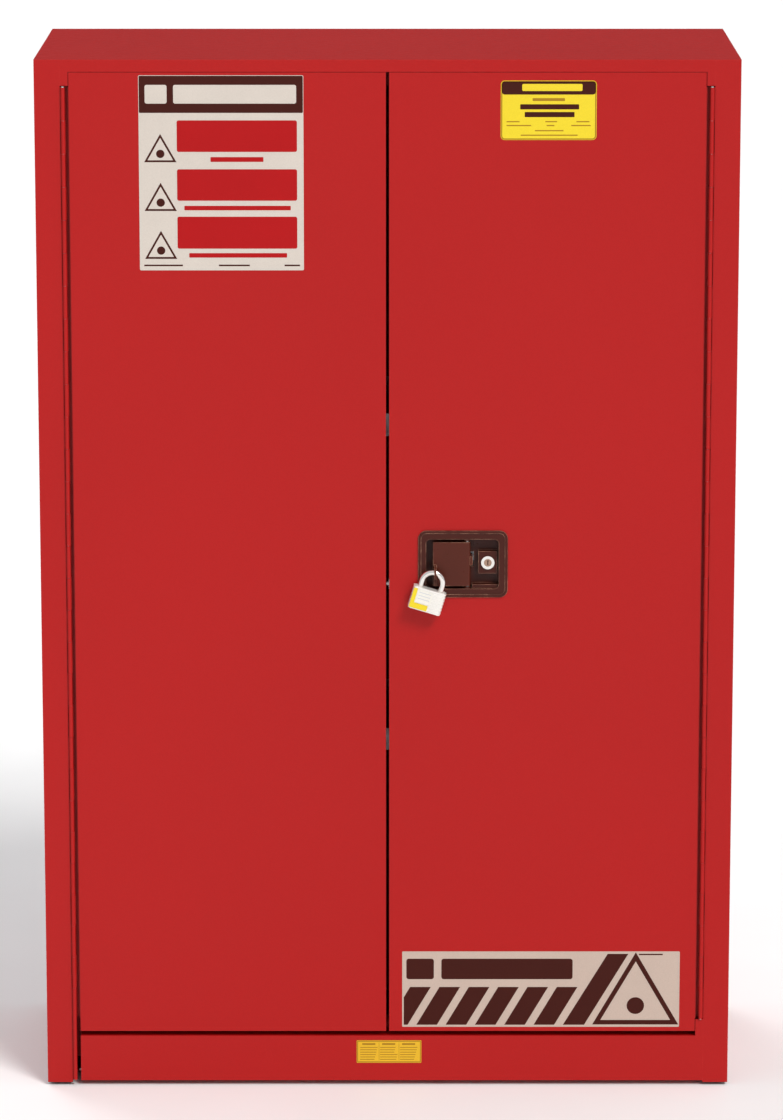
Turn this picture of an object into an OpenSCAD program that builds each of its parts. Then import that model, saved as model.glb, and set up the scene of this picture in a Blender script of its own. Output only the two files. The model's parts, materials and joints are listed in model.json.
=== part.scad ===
// Two-door flammable storage cabinet with a double wall, a leak-tight sump,
// two shelves, two capped vents and a three-point paddle latch with a padlock.
// Frame: +Z up, the doors face -Y, origin on the floor under the middle.

/* [Cabinet body] */
// Outside width
body_w = 1092; // [1060:1:1140]
// Outside depth, front face to back face
body_d = 457; // [440:1:520]
// Height from the floor to the top sheet
body_h = 1651; // [1640:1:1700]
// Thickness of the steel sheet
sheet = 1.2; // [1:0.1:1.4]
// Thickness of the double side and back walls
wall = 40; // [38:1:42]
// Height of the header above the doors
header_h = 19; // [18:1:22]
// Depth of the hollow between the top sheet and the inner ceiling
top_wall = 45; // [44:1:50]
// Height of the sill's top edge above the floor
sill_z = 82.6; // [80:0.1:84]
// Depth of the leak-tight sump
sump_depth = 49; // [44:1:50]

/* [Doors and hinges] */
// Thickness of a door
door_t = 45; // [45:0.5:45.5]
// Width of the gap between the two doors
centre_gap = 5; // [4.5:0.5:6]
// Outside radius of the hinge knuckles
knuckle_r = 3.2; // [3:0.1:3.3]
// Number of knuckles on each hinge
knuckle_n = 29; // [21:2:31]

/* [Shelves] */
// Height of the lower shelf above the floor
lower_shelf_z = 560; // [400:10:700]
// Height of the upper shelf above the floor
upper_shelf_z = 1070; // [950:10:1300]
// Depth of the shelf from front to back
shelf_d = 345; // [320:1:350]

/* [Latch] */
// Distance of the latch plate's middle from the cabinet's middle
latch_x = 118.6; // [118:0.1:119]
// Height of the latch plate's middle above the floor
latch_z = 856.6; // [850:0.1:860]
// Radius of the upper and lower latch rods
rod_r = 4.5; // [4.3:0.1:4.5]

/* [Padlock] */
// Width of the padlock case
case_w = 53; // [50:1:54]
// Height of the padlock case
case_h = 36; // [34:1:38]
// Thickness of the padlock case
case_t = 22; // [20:1:22]
// Radius of the shackle's rod
shackle_r = 4.5; // [4:0.1:4.6]
// Tilt of the hanging padlock, in degrees
padlock_tilt = 16.7; // [10:0.1:18]

/* [Vents and feet] */
// Bore radius of a vent
vent_r = 25.4; // [24:0.1:25.4]
// Radius of a levelling foot's pad
foot_r = 19; // [16:1:20]

/* [Hidden] */
$fn = 48;

// colours
RED = [0.72, 0.16, 0.15];
BROWN = [0.30, 0.15, 0.11];
ZINC = [0.72, 0.73, 0.74];
STEEL = [0.62, 0.62, 0.63];
CHROME = [0.85, 0.85, 0.86];
BRASS = [0.78, 0.64, 0.32];
RUBBER = [0.12, 0.12, 0.12];

// cabinet: x from the middle, y back from the front face, z up from the floor
front_reach = 27;                       // how far the padlock stands in front of the body
front_y = -(body_d - front_reach) / 2;  // place of the front face in the row's frame
half_w = body_w / 2;
jamb_x = half_w - wall;                 // inside face of the opening and of the side walls
jamb_d = 48;                            // depth of the door rebate
back_in = body_d - wall;                // front of the inner back wall
soffit_z = body_h - header_h;           // underside of the header
ceil_z = body_h - top_wall;             // underside of the inner ceiling
panel_z = 5;                            // lower edge of the side panels
base_z = 8;                             // lower edge of the sill and the bottom panel
sump_z = sill_z - sump_depth;
stop_h = 14;                            // how far the door stops stand into the opening
clear = 0.3;

// doors
door_x0 = centre_gap / 2;               // free edge
door_x1 = jamb_x - 13.5;                // hinge edge
door_z0 = sill_z + 8;
door_z1 = soffit_z - 0.8;
hinge_x = jamb_x - 4.5;                 // hinge axis
hinge_y = -1.5;                         // just in front of the body, so that the door opens 180 degrees
pin_r = 1.5;
fit = 0.06;                             // radial clearance of a running fit
hinge_top = door_z1 - 23;
hinge_low = sill_z + 29;
knuckle_len = (hinge_top - hinge_low) / knuckle_n;
left_hinge_z0 = base_z + 2;             // the left hinge's last knuckle runs on beside the sill

// latch, in the same coordinates
plate_w = 141;
plate_h = 107;
plate_proud = 2.5;
plate_corner = 13;
recess_x = [60.5, 175];
recess_z = [816.7, 896];
recess_d = 18;
recess_corner = 7;
pan_t = 2;
paddle_x = 125.5;                       // pivot axis of the paddle
paddle_y = 4.5;
paddle_pin_r = 2;
cam_x = 125.5;
cam_z = 840;
cam_y = [28.5, 31];
cam_pin_r = 2.5;
cam_up_r = 21;                          // radius of the cam's upper and lower pins
cam_side_r = 16;                        // sideways distance of the rods from the cam's pivot
rod_y = 37;
slide_z = cam_z - cam_up_r;
slide_y = [23.5, 26.5];
lock_x = 157.8;
lock_z = 857.6;
lock_r = 9;
plug_r = 6;
case_box_x = [52, 185];
case_box_z = [800, 902];
case_back_y = 41.5;
collar_up_z = case_box_z[1] + 40;
collar_down_z = case_box_z[0] - 40;

// padlock: hangs from a fin on the paddle
eye = [75, -15, 845];                   // middle of the fin's hole
fin_t = 3;
shackle_half = 16.5;                    // half the distance between the shackle's legs
shackle_drop = 26.5;                    // from the crown to the top of the case

vent_y = 374;
left_vent_z = 170;
right_vent_z = 1490;
vent_wall = 4;
vent_out = 8;                           // how far a sleeve stands out of the side
foot_x = half_w - 70;
foot_y = [72, body_d - 46];
stud_r = 5;

// ---------- helpers ----------
// a block from three ranges
module block(x, y, z) {
  translate([x[0], y[0], z[0]]) cube([x[1] - x[0], y[1] - y[0], z[1] - z[0]]);
}
// puts a shape drawn in cabinet coordinates into the row's frame
module place() {
  translate([0, front_y, 0]) children();
}
// draws a right-hand shape on the right (1) or mirrored on the left (-1)
module sided(side) {
  place() if (side > 0) children(); else mirror([1, 0, 0]) children();
}
// cylinders along X, Y and Z from a start point
module rod_x(p, r, len) {
  translate(p) rotate([0, 90, 0]) cylinder(r = r, h = len);
}
module rod_along_y(p, r, len) {
  translate(p) rotate([-90, 0, 0]) cylinder(r = r, h = len);
}
module rod_z(p, r, len) {
  translate(p) cylinder(r = r, h = len);
}
// a plate in the XZ plane with round corners
module round_plate(w, h, r, t) {
  rotate([90, 0, 0]) translate([0, 0, -t]) linear_extrude(t) rounded(w, h, r);
}
module rounded(w, h, r) {
  union() {
    square([w - 2 * r, h], center = true);
    square([w, h - 2 * r], center = true);
    for (sx = [-1, 1], sz = [-1, 1]) translate([sx * (w / 2 - r), sz * (h / 2 - r)]) circle(r = r);
  }
}

// ---------- body shell ----------
// one folded sheet: side, front strip, door jamb and a flange for the back
module side_panel(side, vent_z) {
  color(RED) sided(side) difference() {
    union() {
      block([half_w - sheet, half_w], [0, body_d - sheet], [panel_z, body_h - sheet]);
      block([jamb_x, half_w], [0, sheet], [panel_z, body_h - sheet]);
      block([jamb_x, jamb_x + sheet], [0, jamb_d], [panel_z, body_h - sheet]);
      block([half_w - 16, half_w], [body_d - 2 * sheet, body_d - sheet], [panel_z, body_h - sheet]);
    }
    rod_x([half_w - 10, vent_y, vent_z], vent_r + vent_wall + 0.5, 20);
    rod_x([half_w - 10, body_d - 40, 110], 3.6, 20);
  }
}
module left_side_panel() side_panel(-1, left_vent_z);
module right_side_panel() side_panel(1, right_vent_z);

module back_panel() {
  color(RED) place() block([-half_w, half_w], [body_d - sheet, body_d], [panel_z, body_h - sheet]);
}

module top_panel() {
  flange = 22;
  in_x = half_w - sheet;
  color(RED) place() {
    block([-half_w, half_w], [0, body_d], [body_h - sheet, body_h]);
    for (s = [-1, 1]) sx_block(s, [in_x - sheet, in_x], [2 * sheet, body_d - 3 * sheet],
                               [body_h - flange, body_h - sheet]);
    block([-in_x + 20, in_x - 20], [body_d - 3 * sheet, body_d - 2 * sheet],
          [body_h - flange, body_h - sheet]);
  }
}
module sx_block(s, x, y, z) {
  if (s > 0) block(x, y, z); else mirror([1, 0, 0]) block(x, y, z);
}

module bottom_panel() {
  in_x = half_w - sheet - 0.1;
  color(RED) place() difference() {
    block([-in_x, in_x], [jamb_d + sheet, body_d - 2 * sheet], [base_z, base_z + sheet]);
    for (s = [-1, 1], y = foot_y) rod_z([s * foot_x, y, base_z - 1], stud_r + 1, 4);
  }
}

// header: front face, soffit over the doors, the stop behind them, and a tab above each hinge
module header_panel() {
  color(RED) place() difference() {
    union() {
      block([-jamb_x, jamb_x], [0, sheet], [soffit_z, body_h - sheet]);
      block([-jamb_x, jamb_x], [0, jamb_d], [soffit_z, soffit_z + sheet]);
      block([-jamb_x, jamb_x], [jamb_d - sheet, jamb_d], [ceil_z, soffit_z + sheet]);
      for (s = [-1, 1]) sx_block(s, [door_x1 + 1, jamb_x], [0, sheet], [hinge_top + 2.2, soffit_z + sheet]);
    }
    rod_z([cam_x - cam_side_r, rod_y, soffit_z - 1], rod_r + 1.5, 4);
  }
}

// sill: front face, ledge under the doors, a tab below the right hinge, and a closed left end
// beside the left hinge's slot
module sill_panel() {
  left = -door_x1;
  color(RED) place() difference() {
    union() {
      block([left, jamb_x], [0, sheet], [base_z, sill_z]);
      block([left, jamb_x], [0, jamb_d], [sill_z - sheet, sill_z]);
      block([door_x1 + 1, jamb_x], [0, sheet], [sill_z - sheet, hinge_low - 1.5]);
      block([left, left + sheet], [0, jamb_d], [base_z, sill_z]);
      block([left, jamb_x], [0, jamb_d + sheet], [base_z, base_z + sheet]);
    }
    rod_z([cam_x + cam_side_r, rod_y, sill_z - 3], rod_r + 1.5, 5);
  }
}

// ---------- inner shell ----------
module inner_wall(side, vent_z) {
  color(RED) sided(side) difference() {
    block([jamb_x, jamb_x + sheet], [jamb_d, back_in], [sump_z, ceil_z]);
    rod_x([jamb_x - 5, vent_y, vent_z], vent_r + vent_wall + 0.5, 20);
  }
}
module inner_left_wall() inner_wall(-1, left_vent_z);
module inner_right_wall() inner_wall(1, right_vent_z);

module inner_back_wall() {
  color(RED) place() block([-jamb_x - sheet, jamb_x + sheet], [back_in, back_in + sheet],
                           [sump_z, ceil_z]);
}
module inner_ceiling() {
  color(RED) place() block([-jamb_x - sheet, jamb_x + sheet], [jamb_d, back_in + sheet],
                           [ceil_z, ceil_z + sheet]);
}
// liquid-tight pan: its front upstand is the doors' lower stop
module sump_pan() {
  rim = 55;
  color(RED) place() difference() {
    block([-jamb_x, jamb_x], [jamb_d, back_in], [sump_z, sump_z + rim + stop_h]);
    block([-jamb_x + sheet, jamb_x - sheet], [jamb_d + sheet, back_in - sheet],
          [sump_z + sheet, body_h]);
    block([-body_w, body_w], [jamb_d + sheet + 5, body_d], [sump_z + rim, body_h]);
  }
}

// ---------- base ----------
gusset_z = base_z + sheet;
gusset_t = 3;
// doubler plates in the corners of the base that carry the feet
module base_gussets() {
  color(STEEL) place() for (sx = [-1, 1], y = foot_y) difference() {
    block([sx * foot_x - 22, sx * foot_x + 22], [y - 22, y + 22],
          [gusset_z, gusset_z + gusset_t]);
    rod_z([sx * foot_x, y, gusset_z - 1], stud_r + 1, 10);
  }
}
module foot_nuts() {
  color(ZINC) place() for (sx = [-1, 1], y = foot_y) difference() {
    translate([sx * foot_x, y, gusset_z + gusset_t]) cylinder(r = 9.8, h = 8, $fn = 6);
    rod_z([sx * foot_x, y, gusset_z], stud_r + fit, 16);
  }
}
module foot(sx, y) {
  color(ZINC) place() translate([sx * foot_x, y, 0]) rotate_extrude()
    polygon([[0, 0], [foot_r, 0], [foot_r, 2], [foot_r - 4, 6], [9, 7.5], [stud_r, 7.5],
             [stud_r, 29], [stud_r - 1, 30], [0, 30]]);
}
module front_left_foot() foot(-1, foot_y[0]);
module front_right_foot() foot(1, foot_y[0]);
module back_left_foot() foot(-1, foot_y[1]);
module back_right_foot() foot(1, foot_y[1]);

// ---------- shelves ----------
standard_y = [95, 320];
standard_w = 22;
standard_t = 6;
slot_pitch = 50;
// slotted channels on the side walls
module shelf_standards() {
  z0 = 130;
  z1 = ceil_z - 60;
  color(ZINC) for (s = [-1, 1], y = standard_y) sided(s) difference() {
    block([jamb_x - standard_t, jamb_x], [y - standard_w / 2, y + standard_w / 2], [z0, z1]);
    block([jamb_x - standard_t + 1.5, jamb_x + 1], [y - standard_w / 2 + 1.5, y + standard_w / 2 - 1.5],
          [z0 - 1, z1 + 1]);
    for (z = [z0 + 30 : slot_pitch : z1 - 30])
      block([jamb_x - standard_t - 1, jamb_x - 3], [y - 3, y + 3], [z - 10, z + 10]);
  }
}
// bent clips hooked into the standards, four under each shelf
module shelf_clips() {
  color(ZINC) for (s = [-1, 1], y = standard_y, z = [lower_shelf_z, upper_shelf_z]) sided(s) {
    block([jamb_x - 22, jamb_x - standard_t - 0.1], [y - 8, y + 8], [z - 3, z]);
    block([jamb_x - standard_t - 2, jamb_x - standard_t - 0.1], [y - 8, y + 8], [z - 22, z]);
  }
}
// tray shelf with a raised rim and a stiffening channel underneath
module shelf(z) {
  x = jamb_x - 9;
  y = [60, 60 + shelf_d];
  lip = 16;
  color(ZINC) place() difference() {
    union() {
      block([-x, x], y, [z, z + lip]);
      block([-x + 30, x - 30], [y[0], y[0] + 12], [z - 20, z + 1]);
      block([-x + 30, x - 30], [y[1] - 12, y[1]], [z - 20, z + 1]);
    }
    block([-x + 1.2, x - 1.2], [y[0] + 1.2, y[1] - 1.2], [z + 1.5, z + lip + 1]);
    for (c = [y[0] + 1.2, y[1] - 12 + 1.2])
      block([-x, x], [c, c + 9.6], [z - 18.8, z - 0.5]);
  }
}
module lower_shelf() shelf(lower_shelf_z);
module upper_shelf() shelf(upper_shelf_z);

// ---------- hinges ----------
function knuckle_z(i) = hinge_top - (i + 1) * knuckle_len;
// a knuckle with a tab to its leaf; dir is 1 towards the frame, -1 towards the door
module knuckle(z, len, dir) {
  difference() {
    union() {
      rod_z([hinge_x, hinge_y, z], knuckle_r, len);
      if (dir > 0) block([hinge_x + 1, jamb_x], [hinge_y + 2.5, 4], [z, z + len]);
      if (dir < 0) block([hinge_x - 3.6, hinge_x - 2], [hinge_y + clear, 13.5], [z, z + len]);
    }
    rod_z([hinge_x, hinge_y, z - 1], pin_r + fit, len + 2);
  }
}
// even knuckles belong to the frame, and its last one runs down to z0
module frame_leaf(side, z0) {
  last = knuckle_n - 1;
  color(RED) sided(side) {
    for (i = [0 : 2 : last - 1]) knuckle(knuckle_z(i) + 0.3, knuckle_len - 0.6, 1);
    knuckle(z0, knuckle_z(last) + knuckle_len - 0.3 - z0, 1);
    block([jamb_x - 1.5, jamb_x], [3.5, 40], [z0, hinge_top]);
  }
}
module door_leaf(side) {
  color(RED) sided(side) {
    for (i = [1 : 2 : knuckle_n - 1]) knuckle(knuckle_z(i) + 0.3, knuckle_len - 0.6, -1);
    block([door_x1, hinge_x - 2], [12, 13.5], [hinge_low, hinge_top]);
    block([door_x1, door_x1 + 1.5], [3.5, 40], [hinge_low, hinge_top]);
  }
}
module hinge_pin(side, z0) {
  color(STEEL) sided(side) {
    rod_z([hinge_x, hinge_y, z0 - 1], pin_r, hinge_top - z0 + 2);
    rod_z([hinge_x, hinge_y, hinge_top + 0.2], 2.4, 1.2);
  }
}
module left_hinge_frame_leaf() frame_leaf(-1, left_hinge_z0);
module right_hinge_frame_leaf() frame_leaf(1, hinge_low);
module left_hinge_door_leaf() door_leaf(-1);
module right_hinge_door_leaf() door_leaf(1);
module left_hinge_pin() hinge_pin(-1, left_hinge_z0);
module right_hinge_pin() hinge_pin(1, hinge_low);

// ---------- strikes, vents, ground stud ----------
module rod_strikes() {
  w = 24;
  color(ZINC) place() {
    for (p = [[cam_x - cam_side_r, soffit_z + sheet], [cam_x + cam_side_r, sill_z - sheet - 3]])
      difference() {
        block([p[0] - w, p[0] + w], [rod_y - 10, rod_y + 9.5], [p[1], p[1] + 3]);
        rod_z([p[0], rod_y, p[1] - 1], rod_r + 0.8, 5);
      }
  }
}
module vent_sleeve(side, z) {
  r = vent_r + vent_wall;
  x0 = jamb_x - 3;
  x1 = half_w + vent_out;
  color(ZINC) sided(side) difference() {
    union() {
      rod_x([x0, vent_y, z], r, x1 - x0);
      rod_x([jamb_x - 3, vent_y, z], r + 6, 3 - 0.05);
    }
    rod_x([x0 - 1, vent_y, z], vent_r, x1 - x0 + 2);
    rod_x([x0 - 1, vent_y, z], vent_r + 1.6, 5);
  }
}
// flame arrester: a ring with a fine crossed mesh, seated in the sleeve's inner end
module vent_screen(side, z) {
  x = jamb_x - 3;
  ring = vent_r + 1.5;
  pitch = 4.5;
  color(STEEL) sided(side) {
    difference() {
      rod_x([x, vent_y, z], ring, 2.5);
      rod_x([x - 1, vent_y, z], ring - 3, 5);
    }
    intersection() {
      rod_x([x, vent_y, z], ring - 2.8, 3);
      union() for (k = [-5 : 5]) {
        block([x + 0.4, x + 1.4], [vent_y + k * pitch - 0.5, vent_y + k * pitch + 0.5], [z - 30, z + 30]);
        block([x + 0.6, x + 1.8], [vent_y - 30, vent_y + 30], [z + k * pitch - 0.5, z + k * pitch + 0.5]);
      }
    }
  }
}
// cup cap with a square wrench boss that closes a vent from outside
module vent_cap(side, z) {
  r = vent_r + vent_wall;
  x = half_w + vent_out;
  color(ZINC) sided(side) {
    difference() {
      rod_x([half_w + 1, vent_y, z], r + 3.5, vent_out + 3);
      rod_x([half_w, vent_y, z], r + 0.08, vent_out + 1.1);
    }
    difference() {
      block([x + 3.5, x + 10], [vent_y - 13, vent_y + 13], [z - 13, z + 13]);
      block([x + 7, x + 11], [vent_y - 8, vent_y + 8], [z - 8, z + 8]);
    }
  }
}
module left_vent_sleeve() vent_sleeve(-1, left_vent_z);
module right_vent_sleeve() vent_sleeve(1, right_vent_z);
module left_vent_screen() vent_screen(-1, left_vent_z);
module right_vent_screen() vent_screen(1, right_vent_z);
module left_vent_cap() vent_cap(-1, left_vent_z);
module right_vent_cap() vent_cap(1, right_vent_z);

ground = [half_w - 12, body_d - 40, 110];
module ground_stud() {
  color(BRASS) place() {
    rod_x(ground, 3, 28);
    rod_x([ground[0] + 17, ground[1], ground[2]], 3.175, 11);
    rod_x(ground, 6, 3);
  }
}
module ground_nuts() {
  color(BRASS) place() for (x = [half_w - sheet - 5, half_w + 0.1]) difference() {
    translate([x, ground[1], ground[2]]) rotate([0, 90, 0]) cylinder(r = 6.4, h = 3.6, $fn = 6);
    rod_x([x - 1, ground[1], ground[2]], 3.05, 6);
  }
}

// ---------- doors ----------
// outer skin: a pan open at the back, with returns on all four sides
module door_pan(side) {
  color(RED) sided(side) difference() {
    block([door_x0, door_x1], [0, door_t - sheet], [door_z0, door_z1]);
    block([door_x0 + sheet, door_x1 - sheet], [sheet, door_t], [door_z0 + sheet, door_z1 - sheet]);
    children();
  }
}
module left_door_skin() {
  door_pan(-1) block([door_x0 - 1, door_x0 + 3], [19, 31], [slide_z - 9, slide_z + 12]);
}
module right_door_skin() {
  door_pan(1) {
    block([door_x0 - 1, door_x0 + 3], [19, 31], [slide_z - 9, slide_z + 12]);
    translate([latch_x, 0, latch_z]) translate([0, -1, 0]) round_plate(plate_w - 12, plate_h - 12, 8, 4);
    rod_z([cam_x - cam_side_r, rod_y, door_z1 - 3], rod_r + 0.7, 5);
    rod_z([cam_x + cam_side_r, rod_y, door_z0 - 2], rod_r + 0.7, 5);
  }
}
module door_liner(side) {
  inset = 60;
  color(RED) sided(side) {
    block([door_x0, door_x1], [door_t - sheet, door_t], [door_z0, door_z1]);
    for (x = [door_x0 + inset, door_x1 - inset - 12])
      block([x, x + 12], [door_t, door_t + 1.5], [door_z0 + inset, door_z1 - inset]);
  }
}
module left_door_liner() door_liner(-1);
module right_door_liner() door_liner(1);

// plate inside the left door's free edge that takes the centre bolt
module centre_strike() {
  color(ZINC) sided(-1) difference() {
    block([door_x0 + sheet, door_x0 + sheet + 2.5], [14, 36], [slide_z - 26, slide_z + 30]);
    block([door_x0, door_x0 + 6], [19, 31], [slide_z - 9, slide_z + 12]);
  }
}

// ---------- latch ----------
// a box with round corners from y0 back to y1
module pocket(x, z, y0, y1, r) {
  translate([(x[0] + x[1]) / 2, y0, (z[0] + z[1]) / 2])
    round_plate(x[1] - x[0], z[1] - z[0], r, y1 - y0);
}
module latch_pan() {
  outer_x = [recess_x[0] - pan_t, recess_x[1] + pan_t];
  outer_z = [recess_z[0] - pan_t, recess_z[1] + pan_t];
  lock_block_x = [143, 172.5];
  lock_block_z = [840, 875.6];
  color(BROWN) place() difference() {
    union() {
      translate([latch_x, -plate_proud, latch_z]) round_plate(plate_w, plate_h, plate_corner, plate_proud);
      pocket(outer_x, outer_z, -0.5, recess_d + pan_t, recess_corner + pan_t);
    }
    difference() {
      pocket(recess_x, recess_z, -plate_proud - 1, recess_d, recess_corner);
      block(lock_block_x, [6, recess_d + 1], lock_block_z);
      for (z = [recess_z[0] - 1, recess_z[1] - 3])
        rod_z([paddle_x, paddle_y, z], 4.5, 4);
      // step beside the paddle that makes the inner pocket's lower edge
      block([133, recess_x[1] + 1], [3, recess_d + 1], [recess_z[0] - 1, 822.8]);
    }
    translate([latch_x, -plate_proud, latch_z]) translate([0, -1, 0])
      round_plate(plate_w - 9, plate_h - 9, plate_corner - 4, 2);
    rod_z([paddle_x, paddle_y, outer_z[0] - 1], paddle_pin_r + fit, outer_z[1] - outer_z[0] + 2);
    block([108, 136], [recess_d - 1, recess_d + pan_t + 1], [cam_z + 9, cam_z + 33]);
    rod_along_y([lock_x, 0, lock_z], lock_r + fit, 30);
  }
}

// finger plate, pivot barrel, drive arm behind it and the padlock fin in front
module paddle() {
  z = [recess_z[0] + 4.3, recess_z[1] - 5];
  left = 71.5;
  arm_x = [130, 134];
  arm_z = [cam_z + 14, cam_z + 28];
  color(BROWN) place() difference() {
    union() {
      block([left, paddle_x], [-0.5, 3], z);
      block([left, left + 3], [-0.5, 7], z);
      rod_z([paddle_x, paddle_y, z[0]], 5, z[1] - z[0]);
      block([paddle_x, arm_x[1]], [1.5, 8], arm_z);
      block(arm_x, [1.5, paddle_y + 22.5], arm_z);
      padlock_fin();
    }
    rod_z([paddle_x, paddle_y, z[0] - 1], paddle_pin_r + fit, z[1] - z[0] + 2);
    rod_x([eye[0] - 5, eye[1], eye[2]], shackle_r + 2.2, 10);
  }
}
module padlock_fin() {
  r = 10.5;
  x = eye[0] - fin_t / 2;
  rod_x([x, eye[1], eye[2]], r, fin_t);
  block([x, x + fin_t], [eye[1], 0], [eye[2] - r, eye[2] + r]);
  block([x, x + fin_t], [-6, 0], [822, eye[2] + r]);
}
module paddle_pin() {
  color(STEEL) place() {
    rod_z([paddle_x, paddle_y, recess_z[0] - pan_t - 0.5], paddle_pin_r,
          recess_z[1] - recess_z[0] + 2 * pan_t + 1);
    rod_z([paddle_x, paddle_y, recess_z[1] + pan_t + 0.2], paddle_pin_r + 1.2, 1.2);
  }
}

// case behind the pan: back plate, edges that guide the rods, and the cam's pivot post
module latch_case() {
  front = recess_d + pan_t + 1;
  t = 1.5;
  color(ZINC) place() {
    difference() {
      block(case_box_x, [front, case_back_y + t], case_box_z);
      block([case_box_x[0] + t, case_box_x[1] - t], [front - 1, case_back_y],
            [case_box_z[0] + t, case_box_z[1] - t]);
      block([case_box_x[0] - 1, case_box_x[0] + 3], [21.5, 28], [slide_z - 9, slide_z + 12]);
      rod_z([cam_x - cam_side_r, rod_y, case_box_z[1] - 3], rod_r + 0.4, 5);
      rod_z([cam_x + cam_side_r, rod_y, case_box_z[0] - 2], rod_r + 0.4, 5);
    }
    rod_along_y([cam_x, cam_y[0] - 1.5, cam_z], 4, case_back_y - cam_y[0] + 2);
  }
}

// four-armed cam: upper pin meets the paddle's arm, lower pin pulls the bolt, side slots move the rods
module latch_cam() {
  arm = 5;
  side_arm = 6;
  slot = [cam_side_r - 1, 19.5];
  color(ZINC) place() translate([cam_x, 0, cam_z]) {
    difference() {
      union() {
        rod_along_y([0, cam_y[0], 0], 9, cam_y[1] - cam_y[0]);
        block([-arm, arm], cam_y, [-cam_up_r, cam_up_r]);
        block([-slot[1], slot[1]], cam_y, [-side_arm, side_arm]);
        for (s = [-1, 1]) {
          rod_along_y([0, cam_y[0], s * cam_up_r], arm, cam_y[1] - cam_y[0]);
          rod_along_y([s * slot[1], cam_y[0], 0], side_arm, cam_y[1] - cam_y[0]);
        }
      }
      rod_along_y([0, cam_y[0] - 1, 0], 4 + fit, 5);
      for (s = [-1, 1]) {
        block([min(s * slot[0], s * slot[1]), max(s * slot[0], s * slot[1])],
              [cam_y[0] - 1, cam_y[1] + 1], [-cam_pin_r - 0.6, cam_pin_r + 0.6]);
        for (x = slot) rod_along_y([s * x, cam_y[0] - 1, 0], cam_pin_r + 0.6, 5);
      }
    }
    for (s = [-1, 1]) rod_along_y([0, 22.8, s * cam_up_r], cam_pin_r, cam_y[0] - 22.8 + 1);
  }
}

// flat bar to the centre bolt, with an upright slot for the cam's lower pin
module latch_slide() {
  rise = 3;
  half = cam_pin_r + 0.5;
  color(STEEL) place() difference() {
    union() {
      block([16, 134], slide_y, [slide_z - 7, slide_z + 10]);
      block([2, 34], [slide_y[0] - 3, slide_y[1] + 2], [slide_z - 7, slide_z + 9]);
      rod_x([-1.8, 25, slide_z + 1], 4, 6);
    }
    block([cam_x - half, cam_x + half], [slide_y[0] - 1, slide_y[1] + 1], [slide_z, slide_z + rise]);
    for (z = [slide_z, slide_z + rise]) rod_along_y([cam_x, slide_y[0] - 1, z], half, 6);
  }
}

// rod with a bullet tip, a spring collar, and a pin that rides in the cam's side slot
module latch_rod(side, end, collar) {
  dir = -side;
  x = cam_x + side * cam_side_r;
  tip = 7;
  len = dir * (end - cam_z);
  color(STEEL) place() translate([x, rod_y, cam_z]) mirror([0, 0, (1 - dir) / 2]) {
    rod_z([0, 0, -5], rod_r, len + 5 - tip);
    translate([0, 0, len - tip]) cylinder(r1 = rod_r, r2 = rod_r - 2.6, h = tip);
    rod_z([0, 0, dir * (collar - cam_z)], rod_r + 1.9, 3);
    rod_along_y([0, cam_y[0] - 0.5 - rod_y, 0], cam_pin_r, rod_y - cam_y[0]);
  }
}
module upper_rod() latch_rod(-1, door_z1 + 0.4, collar_up_z);
module lower_rod() latch_rod(1, door_z0 - 6, collar_down_z);

// compression spring between the case and a rod's collar, swept along a helix
wire_r = 0.8;
coil_r = rod_r + 1.2;
coil_turns = 7;
ring_steps = 14;
wire_sides = 6;
function coil_point(i, j, h) =
  let (a = 360 * i / ring_steps, b = 360 * j / wire_sides)
  [(coil_r + wire_r * cos(b)) * cos(a), (coil_r + wire_r * cos(b)) * sin(a),
   wire_r + 0.1 + (h - 2 * wire_r - 0.2) * i / (ring_steps * coil_turns) + wire_r * sin(b)];
module coil_spring(h) {
  n = ring_steps * coil_turns;
  points = [for (i = [0 : n], j = [0 : wire_sides - 1]) coil_point(i, j, h)];
  sides = [for (i = [0 : n - 1], j = [0 : wire_sides - 1])
    let (k = (j + 1) % wire_sides)
    [i * wire_sides + j, i * wire_sides + k, (i + 1) * wire_sides + k, (i + 1) * wire_sides + j]];
  ends = [[for (j = [wire_sides - 1 : -1 : 0]) j], [for (j = [0 : wire_sides - 1]) n * wire_sides + j]];
  polyhedron(points, [for (f = concat(sides, ends)) [for (k = [len(f) - 1 : -1 : 0]) f[k]]]);
}
module upper_rod_spring() {
  color(STEEL) place() translate([cam_x - cam_side_r, rod_y, case_box_z[1]])
    coil_spring(collar_up_z - case_box_z[1]);
}
module lower_rod_spring() {
  color(STEEL) place() translate([cam_x + cam_side_r, rod_y, collar_down_z])
    coil_spring(case_box_z[0] - collar_down_z);
}

// blocks on the door's liner that keep the rods straight
module rod_guides() {
  up = [1120, door_z1 - 60];
  down = [door_z0 + 60, 480];
  color(RUBBER) place() for (p = [[-1, up[0]], [-1, up[1]], [1, down[0]], [1, down[1]]]) {
    x = cam_x + p[0] * cam_side_r;
    difference() {
      block([x - 11, x + 11], [rod_y - 8, door_t - sheet], [p[1] - 8, p[1] + 8]);
      rod_z([x, rod_y, p[1] - 9], rod_r + fit, 18);
    }
  }
}

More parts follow.
